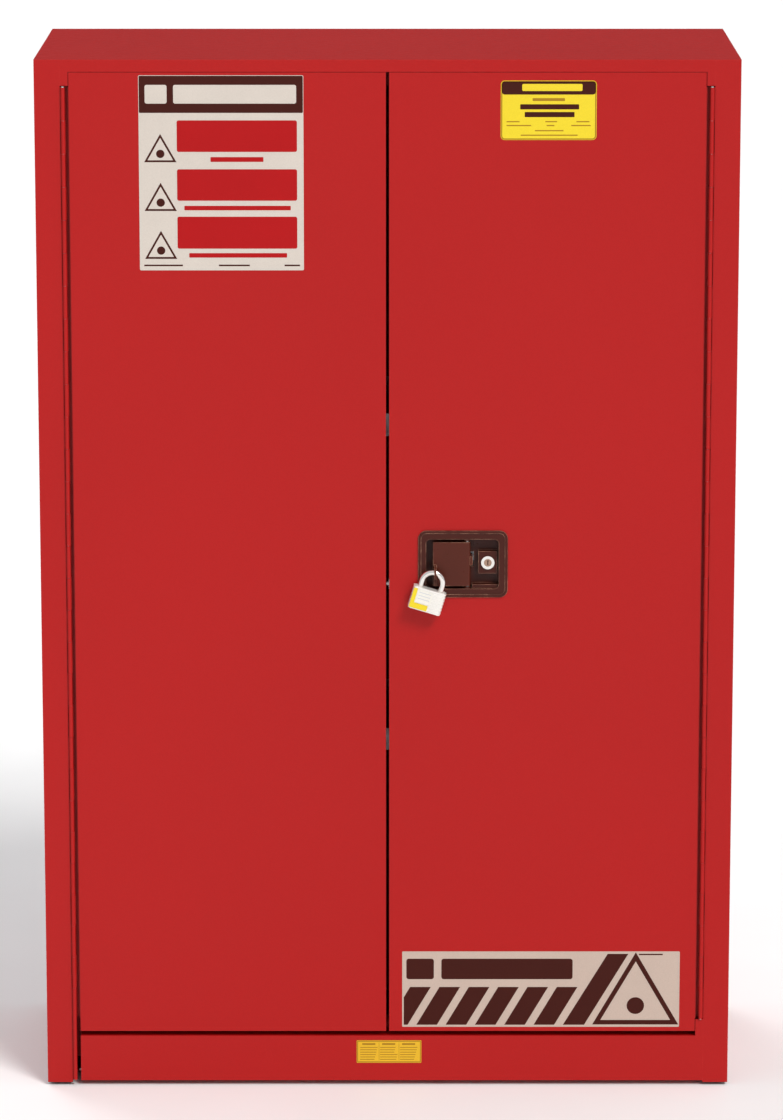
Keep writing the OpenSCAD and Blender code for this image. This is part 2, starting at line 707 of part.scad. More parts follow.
// ---------- key lock ----------
module lock_cylinder() {
  color(CHROME) place() difference() {
    union() {
      rod_along_y([lock_x, 3, lock_z], 10.5, 2.9);
      rod_along_y([lock_x, 5.5, lock_z], lock_r, 28.5);
    }
    rod_along_y([lock_x, 0, lock_z], plug_r + fit, 40);
  }
}
module lock_nut() {
  color(ZINC) place() difference() {
    translate([lock_x, recess_d + pan_t + 0.1, lock_z]) rotate([-90, 0, 0])
      cylinder(r = 13, h = 4, $fn = 6);
    rod_along_y([lock_x, recess_d, lock_z], lock_r + fit, 10);
  }
}
module lock_plug() {
  color(CHROME) place() difference() {
    rod_along_y([lock_x, 4.6, lock_z], plug_r, 30.4);
    block([lock_x - 0.8, lock_x + 0.8], [4, 20], [lock_z - 4, lock_z + 4]);
    rod_along_y([lock_x, 4, lock_z + 2.4], 1.4, 16);
  }
}
module lock_tail() {
  y = 35;
  color(ZINC) place() {
    rod_along_y([lock_x, y, lock_z], 7, 2);
    block([lock_x - 5, lock_x + 5], [y, y + 2], [lock_z, lock_z + 21]);
  }
}

// ---------- padlock ----------
// children are drawn with the crown at the origin and the case straight below it
module hang() {
  place() translate(eye) rotate([0, padlock_tilt, 0]) children();
}
module padlock_shackle() {
  into = 14;
  leg = shackle_drop - shackle_half + into;
  color(CHROME) hang() translate([0, 0, -shackle_half]) {
    rotate([90, 0, 0]) rotate_extrude(angle = 180) translate([shackle_half, 0]) circle(r = shackle_r);
    for (s = [-1, 1]) rod_z([s * shackle_half, 0, -leg], shackle_r, leg);
  }
}
// laminated case: steel plates with alternate edges set back, riveted at the corners
module padlock_case() {
  plates = 12;
  pitch = case_h / plates;
  back = -1.0;
  keyway = 8;
  color(STEEL) hang() translate([0, back, -shackle_drop - case_h]) difference() {
    union() {
      for (i = [0 : plates - 1]) {
        inset = (i % 2) * 0.7;
        translate([0, 0, i * pitch]) linear_extrude(pitch)
          rounded(case_w - 2 * inset, case_t - 2 * inset, 4);
      }
      for (sx = [-1, 1], sy = [-1, 1])
        rod_z([sx * (case_w / 2 - 5), sy * (case_t / 2 - 4.5), -1], 2.2, case_h + 2);
    }
    for (s = [-1, 1]) rod_z([s * shackle_half, -back, case_h - 25], shackle_r + 0.35, 30);
    rod_z([0, 0, -2], keyway + fit, case_h - 8);
  }
}
module padlock_plug() {
  r = 8;
  color(BRASS) hang() translate([0, -1.0, -shackle_drop - case_h]) difference() {
    rod_z([0, 0, 0.2], r, case_h - 12);
    block([-0.9, 0.9], [-5, 5], [-1, 16]);
  }
}

// ---------- every node ----------
left_side_panel();
right_side_panel();
back_panel();
top_panel();
bottom_panel();
header_panel();
sill_panel();
inner_left_wall();
inner_right_wall();
inner_back_wall();
inner_ceiling();
sump_pan();
base_gussets();
foot_nuts();
shelf_standards();
shelf_clips();
left_hinge_frame_leaf();
right_hinge_frame_leaf();
left_hinge_pin();
right_hinge_pin();
rod_strikes();
left_vent_sleeve();
right_vent_sleeve();
left_vent_screen();
right_vent_screen();
ground_stud();
ground_nuts();
left_vent_cap();
right_vent_cap();
lower_shelf();
upper_shelf();
front_left_foot();
front_right_foot();
back_left_foot();
back_right_foot();
left_door_skin();
left_door_liner();
left_hinge_door_leaf();
centre_strike();
right_door_skin();
right_door_liner();
right_hinge_door_leaf();
latch_pan();
paddle();
paddle_pin();
latch_case();
latch_cam();
latch_slide();
upper_rod();
lower_rod();
upper_rod_spring();
lower_rod_spring();
rod_guides();
lock_cylinder();
lock_nut();
lock_plug();
lock_tail();
padlock_shackle();
padlock_case();
padlock_plug();
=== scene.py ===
import json
import math

import bmesh
import bpy
from mathutils import Matrix, Vector


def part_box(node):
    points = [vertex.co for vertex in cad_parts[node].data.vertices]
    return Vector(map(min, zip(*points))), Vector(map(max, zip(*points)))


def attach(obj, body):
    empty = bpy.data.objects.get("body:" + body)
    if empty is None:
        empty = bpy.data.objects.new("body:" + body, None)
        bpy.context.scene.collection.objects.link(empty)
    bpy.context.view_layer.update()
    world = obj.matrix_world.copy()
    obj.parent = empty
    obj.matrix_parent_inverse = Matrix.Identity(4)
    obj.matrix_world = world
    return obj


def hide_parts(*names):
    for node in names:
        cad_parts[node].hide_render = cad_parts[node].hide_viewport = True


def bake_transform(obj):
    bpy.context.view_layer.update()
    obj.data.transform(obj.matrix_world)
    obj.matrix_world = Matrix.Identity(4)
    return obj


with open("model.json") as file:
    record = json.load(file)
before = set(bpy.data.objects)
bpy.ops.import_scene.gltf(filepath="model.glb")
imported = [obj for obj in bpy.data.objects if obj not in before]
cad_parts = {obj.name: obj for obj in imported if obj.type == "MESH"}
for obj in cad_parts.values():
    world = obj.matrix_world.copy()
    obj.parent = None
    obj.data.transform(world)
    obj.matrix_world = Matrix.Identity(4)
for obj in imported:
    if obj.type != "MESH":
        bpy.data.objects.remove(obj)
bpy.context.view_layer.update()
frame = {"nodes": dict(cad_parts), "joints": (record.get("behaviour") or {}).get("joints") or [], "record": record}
NODES = frame["nodes"]
MM = 0.001
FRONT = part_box("header_panel")[0][1]   # plane of the cabinet's front face

EYE_SIDE = 0.0062      # camera, metres right of the middle
EYE_BACK = 7.85        # metres in front of the front face
EYE_HEIGHT = 2.517
LOOK_DOWN = 11.9       # degrees below level
LENS = 163.9           # mm, on a 36 mm sensor

SINK = 0.00002         # how far a print reaches into what it lies on
PRINT = 0.00006        # how far a print stands out
TOP_PRINT = 0.00012    # the same, for a print on another print


# ---------- camera, light and floor ----------
def studio():
    cam = bpy.data.objects.new("camera", bpy.data.cameras.new("camera"))
    bpy.context.collection.objects.link(cam)
    cam.location = (EYE_SIDE, FRONT - EYE_BACK, EYE_HEIGHT)
    cam.rotation_euler = (math.radians(90 - LOOK_DOWN), 0, 0)
    cam.data.sensor_width = 36
    cam.data.lens = LENS
    bpy.context.scene.camera = cam
    lamp("key", 2.05, 20, (1.0, 0.985, 0.965), 46, 33)
    lamp("back_fill", 0.75, 30, (0.98, 0.99, 1.0), 52, 212).visible_glossy = False
    sky()
    bpy.context.scene.view_settings.view_transform = "Standard"


def lamp(name, energy, spread, color, tip, turn):
    """A broad distant light, tipped from overhead and turned about the vertical."""
    ob = bpy.data.objects.new(name, bpy.data.lights.new(name, "SUN"))
    ob.data.energy = energy
    ob.data.angle = math.radians(spread)
    ob.data.color = color
    ob.rotation_euler = (math.radians(tip), 0, math.radians(turn))
    bpy.context.collection.objects.link(ob)
    return ob


def sky():
    """Even light from all round, with a darker low band behind; the camera sees plain white."""
    world = bpy.data.worlds.new("studio")
    world.use_nodes = True
    nt = world.node_tree
    light = nt.nodes["Background"]
    light.inputs["Color"].default_value = (0.975, 0.985, 1.0, 1)
    seen = nt.nodes.new("ShaderNodeBackground")
    seen.inputs["Color"].default_value = (1, 1, 1, 1)
    seen.inputs["Strength"].default_value = 1.0
    axes = nt.nodes.new("ShaderNodeSeparateXYZ")
    nt.links.new(nt.nodes.new("ShaderNodeTexCoord").outputs["Generated"], axes.inputs[0])
    ends = {}
    for axis, lo, hi, a, b in (("Z", 0.30, 0.62, 1.0, 0.0), ("Y", 0.15, 0.55, 0.0, 1.0)):
        m = nt.nodes.new("ShaderNodeMapRange")
        m.interpolation_type = "SMOOTHSTEP"
        for k, v in (("From Min", lo), ("From Max", hi), ("To Min", a), ("To Max", b)):
            m.inputs[k].default_value = v
        nt.links.new(axes.outputs[axis], m.inputs["Value"])
        ends[axis] = m.outputs["Result"]
    both = nt.nodes.new("ShaderNodeMath")
    both.operation = "MULTIPLY"
    nt.links.new(ends["Z"], both.inputs[0])
    nt.links.new(ends["Y"], both.inputs[1])
    level = nt.nodes.new("ShaderNodeMapRange")
    level.inputs["To Min"].default_value = 0.66
    level.inputs["To Max"].default_value = 0.06
    nt.links.new(both.outputs[0], level.inputs["Value"])
    nt.links.new(level.outputs["Result"], light.inputs["Strength"])
    mix = nt.nodes.new("ShaderNodeMixShader")
    nt.links.new(nt.nodes.new("ShaderNodeLightPath").outputs["Is Camera Ray"], mix.inputs[0])
    nt.links.new(light.outputs[0], mix.inputs[1])
    nt.links.new(seen.outputs[0], mix.inputs[2])
    nt.links.new(mix.outputs[0], nt.nodes["World Output"].inputs["Surface"])
    bpy.context.scene.world = world


# ---------- node helpers ----------
def scaled(c, k):
    return tuple(min(1.0, v * k) for v in c) + (1,)


class Finish:
    """A procedural material on object coordinates, which are the frame's metres."""

    def __init__(self, name, color, rough, metal=0.0):
        self.mat = bpy.data.materials.new(name)
        self.mat.use_nodes = True
        self.nt = self.mat.node_tree
        self.bsdf = self.nt.nodes["Principled BSDF"]
        self.color, self.rough = color, rough
        self.bsdf.inputs["Base Color"].default_value = color + (1,)
        self.bsdf.inputs["Roughness"].default_value = rough
        self.bsdf.inputs["Metallic"].default_value = metal
        self.coord = self.nt.nodes.new("ShaderNodeTexCoord").outputs["Object"]
        self.col = None
        self.normal = None

    def new(self, kind, **inputs):
        n = self.nt.nodes.new(kind)
        for k, v in inputs.items():
            n.inputs[k].default_value = v
        return n

    def link(self, a, b):
        self.nt.links.new(a, b)

    def noise(self, scale, detail=2.0, stretch=None, kind="ShaderNodeTexNoise"):
        n = self.new(kind, Scale=scale)
        if kind == "ShaderNodeTexNoise":
            n.inputs["Detail"].default_value = detail
        src = self.coord
        if stretch:
            m = self.new("ShaderNodeMapping", Scale=stretch)
            self.link(src, m.inputs["Vector"])
            src = m.outputs["Vector"]
        self.link(src, n.inputs["Vector"])
        return n.outputs["Fac" if kind == "ShaderNodeTexNoise" else "Distance"]

    def ranged(self, fac, lo, hi, a=0.3, b=0.7):
        m = self.new("ShaderNodeMapRange")
        for k, v in (("From Min", a), ("From Max", b), ("To Min", lo), ("To Max", hi)):
            m.inputs[k].default_value = v
        self.link(fac, m.inputs["Value"])
        return m.outputs["Result"]

    def mix(self, fac, a, b):
        m = self.nt.nodes.new("ShaderNodeMix")
        m.data_type = "RGBA"
        self.link(fac, m.inputs[0])
        for sock, v in ((m.inputs[6], a), (m.inputs[7], b)):
            if isinstance(v, tuple):
                sock.default_value = v
            else:
                self.link(v, sock)
        return m.outputs[2]

    def mottle(self, scale, spread, detail=2.0, stretch=None):
        """Varies the colour up and down by spread."""
        fac = self.ranged(self.noise(scale, detail, stretch), 0, 1)
        lo, hi = scaled(self.color, 1 - spread), scaled(self.color, 1 + spread)
        if self.col is None:
            self.col = self.mix(fac, lo, hi)
        else:
            m = self.nt.nodes.new("ShaderNodeMix")
            m.data_type, m.blend_type = "RGBA", "MULTIPLY"
            m.inputs[0].default_value = 1.0
            self.link(self.col, m.inputs[6])
            tone = self.mix(fac, (1 - spread,) * 3 + (1,), (1, 1, 1, 1))
            self.link(tone, m.inputs[7])
            self.col = m.outputs[2]
        return self

    def rough_by(self, scale, spread, detail=3.0, stretch=None):
        fac = self.noise(scale, detail, stretch)
        self.link(self.ranged(fac, max(0.02, self.rough - spread), self.rough + spread),
                  self.bsdf.inputs["Roughness"])
        return self

    def bump(self, scale, depth, strength=1.0, detail=2.0, stretch=None):
        b = self.new("ShaderNodeBump", Strength=strength, Distance=depth)
        self.link(self.noise(scale, detail, stretch), b.inputs["Height"])
        if self.normal is not None:
            self.link(self.normal, b.inputs["Normal"])
        self.normal = b.outputs["Normal"]
        return self

    def color_so_far(self):
        return self.col if self.col is not None else self.color + (1,)

    def edge_wear_and_highlight(self, radius, color, amount, samples=3):
        """Tints edges toward color in patches, lighter on most finishes: worn edges, and on some finishes a
        painted highlight along the edge. The rounded normal leaves the true one within radius of an edge.
        """
        bev = self.nt.nodes.new("ShaderNodeBevel")
        bev.samples = samples
        bev.inputs["Radius"].default_value = radius
        geo = self.nt.nodes.new("ShaderNodeNewGeometry")
        dot = self.nt.nodes.new("ShaderNodeVectorMath")
        dot.operation = "DOT_PRODUCT"
        self.link(bev.outputs["Normal"], dot.inputs[0])
        self.link(geo.outputs["Normal"], dot.inputs[1])
        edge = self.ranged(dot.outputs["Value"], amount, 0.0, 0.80, 0.995)
        patch = self.ranged(self.noise(60, 4.0), 0.15, 1.0, 0.4, 0.62)
        mul = self.nt.nodes.new("ShaderNodeMath")
        mul.operation = "MULTIPLY"
        self.link(edge, mul.inputs[0])
        self.link(patch, mul.inputs[1])
        self.col = self.mix(mul.outputs[0], self.color_so_far(), color + (1,))
        return self

    def painted_shade(self, reach, amount, color=(0.02, 0.017, 0.015)):
        """Painted shade: darkens the colour in corners and recesses, where nearby surfaces block the light."""
        ao = self.nt.nodes.new("ShaderNodeAmbientOcclusion")
        ao.samples = 6
        ao.inputs["Distance"].default_value = reach
        fac = self.ranged(ao.outputs["AO"], amount, 0.0, 0.25, 0.95)
        self.col = self.mix(fac, self.color_so_far(), color + (1,))
        return self

    def done(self, **inputs):
        if self.col is not None:
            self.link(self.col, self.bsdf.inputs["Base Color"])
        if self.normal is not None:
            self.link(self.normal, self.bsdf.inputs["Normal"])
        for k, v in inputs.items():
            self.bsdf.inputs[k.replace("_", " ")].default_value = v
        return self.mat


def powder(name, color):
    f = Finish(name, color, 0.44)
    f.mottle(1400, 0.10, 2.0).mottle(420, 0.06, 2.0).mottle(2.2, 0.035, 1.0)
    f.rough_by(90, 0.06).bump(700, 0.00007, 0.5, 1.0).bump(2600, 0.00004, 0.35, 1.0)
    f.edge_wear_and_highlight(0.0008, (0.62, 0.085, 0.07), 0.32, 2)
    return f.done(Specular_IOR_Level=0.26)


def brushed(name, color, rough, metal=0.9, along=(1, 1, 1), grain=400, depth=0.00005, spread=0.10):
    f = Finish(name, color, rough, metal)
    f.mottle(grain, spread, 3.0, along).mottle(14, 0.10, 3.0)
    f.rough_by(grain, 0.07, 2.0, along).bump(grain, depth, 0.5, 2.0, along)
    return f


def flat_ink(name, color, rough=0.42):
    f = Finish(name, color, rough)
    f.mottle(700, 0.04).mottle(16, 0.04).rough_by(40, 0.05).bump(900, 0.00002, 0.4)
    return f.done(Specular_IOR_Level=0.16)


def materials():
    m = {}
    m["red_powder_coat"] = powder("red_powder_coat", (0.412, 0.0036, 0.0032))
    # The second brown is the same enamel as the first, painted lighter as painted light on the paddle.
    browns = (("brown_enamel", (0.054, 0.0068, 0.0025)), ("paddle_enamel_painted_lighter", (0.080, 0.0125, 0.0050)))
    for name, tone in browns:
        f = Finish(name, tone, 0.34)
        f.mottle(900, 0.16).mottle(30, 0.10).rough_by(120, 0.07)
        # The tan edge on the brown enamels is a painted highlight, standing for the light caught by the rims.
        f.bump(700, 0.00006, 0.5).edge_wear_and_highlight(0.0013, (0.62, 0.34, 0.22), 0.85)
        m[name] = f.done(Specular_IOR_Level=0.22)
    zinc = brushed("zinc_plate", (0.58, 0.59, 0.62), 0.33, 0.9, (1, 1, 6))
    # The light zinc edges are wear and a painted highlight; the dark recesses are painted shade, to show the
    # shapes under even light.
    zinc.edge_wear_and_highlight(0.0007, (0.86, 0.86, 0.88), 0.5).painted_shade(0.007, 0.75, (0.07, 0.065, 0.06))
    m["zinc_plate"] = zinc.done()
    galv = Finish("galvanized_sheet", (0.50, 0.52, 0.54), 0.40, 0.85)
    cell = galv.noise(85, kind="ShaderNodeTexVoronoi")
    light, dark = scaled(galv.color, 1.12), scaled(galv.color, 0.82)
    galv.col = galv.mix(galv.ranged(cell, 0, 1, 0.1, 0.75), light, dark)
    # The galvanized sheet is darkened in its corners and recesses as painted shade.
    galv.mottle(9, 0.10, 3.0).rough_by(60, 0.10).bump(180, 0.00004, 0.5).painted_shade(0.012, 0.45)
    m["galvanized_sheet"] = galv.done()
    m["bright_steel"] = brushed("bright_steel", (0.62, 0.61, 0.60), 0.26, 0.95, (9, 9, 1), 500).done()
    m["spring_steel"] = brushed("spring_steel", (0.33, 0.33, 0.35), 0.33, 0.95, grain=900).done()
    chrome = brushed("polished_chrome", (0.86, 0.82, 0.78), 0.12, 1.0, grain=700, depth=0.00002, spread=0.05)
    m["polished_chrome"] = chrome.done()
    brass = brushed("brass", (0.72, 0.50, 0.20), 0.27, 1.0, grain=600)
    # The brass is darkened toward brown in its recesses as painted shade.
    m["brass"] = brass.painted_shade(0.004, 0.6, (0.12, 0.06, 0.02)).done()
    lam = brushed("laminated_steel", (0.90, 0.87, 0.82), 0.36, 0.45, (1, 1, 1), 500, 0.00006, 0.06)
    lam.edge_wear_and_highlight(0.0006, (0.42, 0.39, 0.35), 0.35)
    m["laminated_steel"] = lam.done(Specular_IOR_Level=0.6)
    nylon = Finish("black_nylon", (0.024, 0.024, 0.026), 0.55)
    nylon.mottle(300, 0.2).rough_by(200, 0.1).bump(500, 0.00008, 0.6)
    m["black_nylon"] = nylon.done()
    # The plug's darker, brownish tint is a painted reflection of the brown pan around it.
    m["plug_steel_painted_reflection"] = brushed("plug_steel_painted_reflection", (0.42, 0.27, 0.20), 0.22, 1.0, grain=800, depth=0.00002).done()
    m["sticker_white"] = flat_ink("sticker_white", (0.80, 0.77, 0.70))
    m["label_cream"] = flat_ink("label_cream", (0.60, 0.535, 0.475))
    m["banner_cream"] = flat_ink("banner_cream", (0.52, 0.41, 0.345))
    m["label_brown"] = flat_ink("label_brown", (0.047, 0.0052, 0.0020))
    m["label_red"] = flat_ink("label_red", (0.40, 0.0035, 0.0050))
    m["label_yellow"] = flat_ink("label_yellow", (0.78, 0.60, 0.028))
    m["sill_yellow"] = flat_ink("sill_yellow", (0.72, 0.43, 0.024))
    m["label_ochre"] = flat_ink("label_ochre", (0.36, 0.19, 0.012))
    floor = Finish("floor", (0.93, 0.93, 0.93), 0.62)
    floor.mottle(3, 0.012).rough_by(5, 0.04).bump(120, 0.00003, 0.3)
    m["floor"] = floor.done(Specular_IOR_Level=0.2)
    return m


# ---------- mesh helpers ----------
def obj_from(bm, name, mats):
    bmesh.ops.recalc_face_normals(bm, faces=bm.faces)
    me = bpy.data.meshes.new(name)
    bm.to_mesh(me)
    bm.free()
    ob = bpy.data.objects.new(name, me)
    bpy.context.collection.objects.link(ob)
    for k in mats:
        me.materials.append(M[k])
    return ob


def prism(bm, pts, y0, y1, mi=0):
    """Extrudes a polygon of (x, z) in mm from y0 to y1 in metres."""
    a = [bm.verts.new((x * MM, y0, z * MM)) for x, z in pts]
    b = [bm.verts.new((x * MM, y1, z * MM)) for x, z in pts]
    faces = [bm.faces.new(a), bm.faces.new(list(reversed(b)))]
    n = len(pts)
    faces += [bm.faces.new((a[i], b[i], b[(i + 1) % n], a[(i + 1) % n])) for i in range(n)]
    for f in faces:
        f.material_index = mi


def frame_ring(bm, outer, inner, y0, y1, mi=0):
    """A closed ring between two polygons with the same number of points."""
    n = len(outer)
    loops = [[bm.verts.new((x * MM, y, z * MM)) for x, z in ring]
             for ring in (outer, inner) for y in (y0, y1)]
    rim_back, rim_front, hole_back, hole_front = loops
    for i in range(n):
        j = (i + 1) % n
        for quad in ((rim_back[i], rim_back[j], rim_front[j], rim_front[i]),
                     (hole_back[i], hole_front[i], hole_front[j], hole_back[j]),
                     (rim_front[i], rim_front[j], hole_front[j], hole_front[i]),
                     (rim_back[i], hole_back[i], hole_back[j], rim_back[j])):
            bm.faces.new(quad).material_index = mi


def rect(x0, x1, z0, z1, r=0.0, steps=5):
    """A rectangle with corners rounded to r."""
    if r <= 0:
        return [(x0, z0), (x1, z0), (x1, z1), (x0, z1)]
    out = []
    corners = ((x1 - r, z0 + r, -90), (x1 - r, z1 - r, 0), (x0 + r, z1 - r, 90), (x0 + r, z0 + r, 180))
    for cx, cz, a0 in corners:
        for i in range(steps + 1):
            a = math.radians(a0 + 90 * i / steps)
            out.append((cx + r * math.cos(a), cz + r * math.sin(a)))
    return out


def tri(cx, z0, w, h, k=0.0):
    """An upright triangle, drawn in by k on every side."""
    s = math.hypot(w / 2, h)
    dx = k * (s + w / 2) / h
    top = k * s / (w / 2)
    return [(cx - w / 2 + dx, z0 + k), (cx + w / 2 - dx, z0 + k), (cx, z0 + h - top)]


def cut_left(pts, x):
    """Cuts off the part of a convex polygon that lies left of x."""
    out = []
    for (ax, az), (bx, bz) in zip(pts, pts[1:] + pts[:1]):
        if ax >= x:
            out.append((ax, az))
        if (ax - x) * (bx - x) < 0:
            out.append((x, az + (bz - az) * (x - ax) / (bx - ax)))
    return out


def disc(cx, cz, r, n=24):
    turns = [2 * math.pi * i / n for i in range(n)]
    return [(cx + r * math.cos(a), cz + r * math.sin(a)) for a in turns]


class Decal:
    """A printed plate on the front face: a thin body with inks laid on it. Outlines are in mm."""

    def __init__(self, name, body, x0, x1, z0, z1, r, base, thick=0.0003):
        self.name, self.body = name, body
        self.bm = bmesh.new()
        self.mats = [base]
        self.y = FRONT - thick
        prism(self.bm, rect(x0, x1, z0, z1, r), FRONT - SINK, self.y)

    def index(self, ink):
        if ink not in self.mats:
            self.mats.append(ink)
        return self.mats.index(ink)

    def ink(self, pts, ink, lift=PRINT):
        prism(self.bm, pts, self.y + SINK, self.y - lift, self.index(ink))

    def ring(self, outer, inner, ink):
        frame_ring(self.bm, outer, inner, self.y + SINK, self.y - PRINT, self.index(ink))

    def border(self, box, outset, inset, r_out, r_in, ink):
        """A printed line along the edge, between two distances from it."""
        x0, x1, z0, z1 = box
        outer = rect(x0 + outset, x1 - outset, z0 + outset, z1 - outset, r_out)
        inner = rect(x0 + inset, x1 - inset, z0 + inset, z1 - inset, r_in)
        self.ring(outer, inner, ink)

    def done(self):
        ob = obj_from(self.bm, self.name, self.mats)
        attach(ob, self.body)


# ---------- labels: plain blocks of colour, no lettering ----------
def door_notice():
    x0, x1, z0, z1 = -384.8, -129.9, 1323.0, 1626.8
    d = Decal("door_notice", "left_door", x0, x1, z0, z1, 2.0, "label_cream")
    d.ink(rect(x0 + 0.8, x1 - 0.8, 1568.6, z1 - 0.8, 1.6), "label_brown")
    d.ink(rect(-331, -141, 1583, 1612, 3), "label_cream", TOP_PRINT)
    d.ink(rect(-375, -341, 1583, 1612, 3), "label_cream", TOP_PRINT)
    # each row: foot of its triangle, low and high edge of its block, then the bar under the block
    rows = ((1493, 1506, 1559, -274, -192, 1491.5, 1501), (1417, 1430, 1483, -315, -150, 1416, 1425),
            (1342, 1355, 1409, -308, -156, 1342, 1351))
    for tz, bz0, bz1, sx0, sx1, sz0, sz1 in rows:
        d.ring(tri(-351.6, tz - 1, 50, 44), tri(-351.6, tz - 1, 50, 44, 3.0), "label_brown")
        d.ink(disc(-351.6, tz + 12, 6.5), "label_brown")
        d.ink(rect(-326, -140, bz0 + 2, bz1 - 2, 3), "label_red")
        d.ink(rect(sx0, sx1, sz0 + 1, sz1 - 1, 1), "label_red")
    for a, b in ((-378, -318), (-262, -214), (-160, -136)):
        d.ink(rect(a, b, 1329.5, 1332.0), "label_brown")
    d.done()


def door_plate():
    x0, x1, z0, z1 = 175.0, 323.1, 1526.6, 1618.7
    d = Decal("door_plate", "right_door", x0, x1, z0, z1, 6.0, "label_yellow")
    d.border((x0, x1, z0, z1), 0.6, 2.4, 5.5, 4, "label_ochre")
    d.ink(rect(x0 + 1.5, x1 - 1.5, 1597.0, z1 - 1.5, 4.5), "label_brown")
    d.ink(rect(208, 301, 1602.5, 1613.5, 2), "label_yellow", TOP_PRINT)
    d.ink(rect(224, 274, 1587, 1591.5, 1), "label_ochre")
    d.ink(rect(205, 296, 1574, 1582, 1), "label_brown")
    d.ink(rect(212, 289, 1562, 1570, 1), "label_brown")
    # rows of short bars: height, then where each bar starts and ends
    rows = ((1555, ((184, 204), (244, 262), (292, 312))), (1549, ((184, 222), (246, 258), (284, 314))),
            (1541, ((228, 272),)), (1534, ((206, 294),)))
    for z, spans in rows:
        for a, b in spans:
            d.ink(rect(a, b, z - 0.9, z + 0.9), "label_ochre")
    d.done()


def banner():
    x0, x1, z0, z1 = 23.3, 467.3, 97.5, 223.1
    d = Decal("banner", "right_door", x0, x1, z0, z1, 1.5, "banner_cream")
    lo, hi, slant = z0 + 3.5, 164.0, 37.0
    first, pitch, wide = -1.0, 47, 33
    for i in range(6):
        a = first + i * pitch
        pts = [(a, lo), (a + wide, lo), (a + wide + slant, hi), (a + slant, hi)]
        d.ink(cut_left(pts, x0 + 2.5), "label_brown")
    tall = [(281, lo), (315, lo), (385, z1 - 4), (352, z1 - 4)]
    d.ink(tall, "label_brown")
    d.ring(tri(397, z0 + 4, 138, 120), tri(397, z0 + 4, 138, 120, 7.5), "label_brown")
    d.ink(disc(397, 133, 14), "label_brown")
    d.ink(rect(86, 296, 177, 211, 4), "label_brown")
    d.ink(rect(30, 74, 177, 211, 4), "label_brown")
    d.ink(rect(402, 440, 217, 219.2), "label_brown")
    d.done()


def sill_plate():
    x0, x1, z0, z1 = -49.7, 54.1, 37.4, 74.9
    d = Decal("sill_plate", "cabinet", x0, x1, z0, z1, 1.2, "sill_yellow")
    d.border((x0, x1, z0, z1), 0.8, 2.2, 1, 0.6, "label_ochre")
    w = (x1 - x0 - 8) / 3
    for c in range(3):
        a = x0 + 4 + c * w
        d.ink(rect(a + 5, a + w - 6, 67.2, 70.2), "label_ochre")
        for r in range(6):
            z = 62.5 - r * 4.0
            ragged = (r * 7 + c * 3) % 6     # the bars end at different places
            d.ink(rect(a + 1.6, a + w - 2.4 - ragged, z, z + 1.2), "label_ochre")
        if c:
            d.ink(rect(a - 0.3, a + 0.3, z0 + 3.5, z1 - 3.5), "label_ochre")
    d.done()


# ---------- padlock: laminated case with rivets and a printed band ----------
CASE_W, CASE_H, CASE_T = 53.0, 36.0, 22.0     # mm, upright
PLATES = 14


def plate(bm, z0, z1, inset):
    """One steel plate of the case, with its edges broken."""
    corner, broken, drawn = 4.0, 0.28, 0.35
    w, t = CASE_W - 2 * inset, CASE_T - 2 * inset
    pts = rect(-w / 2, w / 2, -t / 2, t / 2, corner, 6)
    loops = []
    for k, z in ((drawn, z0), (0.0, z0 + broken), (0.0, z1 - broken), (drawn, z1)):
        sx, sy = 1 - 2 * k / w, 1 - 2 * k / t
        loops.append([bm.verts.new((x * sx * MM, y * sy * MM, z * MM)) for x, y in pts])
    for a, b in zip(loops, loops[1:]):
        for i in range(len(a)):
            j = (i + 1) % len(a)
            bm.faces.new((a[i], a[j], b[j], b[i]))
    bm.faces.new(list(reversed(loops[0])))
    bm.faces.new(loops[-1])


def rivet(bm, cx, cy, z, up):
    """A domed rivet head that rises from z, or hangs from it when up is -1."""
    r, dome, rings, sides = 2.4, 1.0, 5, 16
    turns = [2 * math.pi * i / sides for i in range(sides)]
    prev = None
    for k in range(rings):
        a = math.pi / 2 * k / rings
        rr, zz = r * math.cos(a), up * dome * math.sin(a)
        ring = [bm.verts.new(((cx + rr * math.cos(q)) * MM, (cy + rr * math.sin(q)) * MM, (z + zz) * MM))
                for q in turns]
        if prev is None:
            bm.faces.new(ring)
        else:
            for i in range(sides):
                j = (i + 1) % sides
                bm.faces.new((prev[i], prev[j], ring[j], ring[i]))
        prev = ring
    tip = bm.verts.new((cx * MM, cy * MM, (z + up * dome) * MM))
    for i in range(sides):
        bm.faces.new((prev[i], prev[(i + 1) % sides], tip))


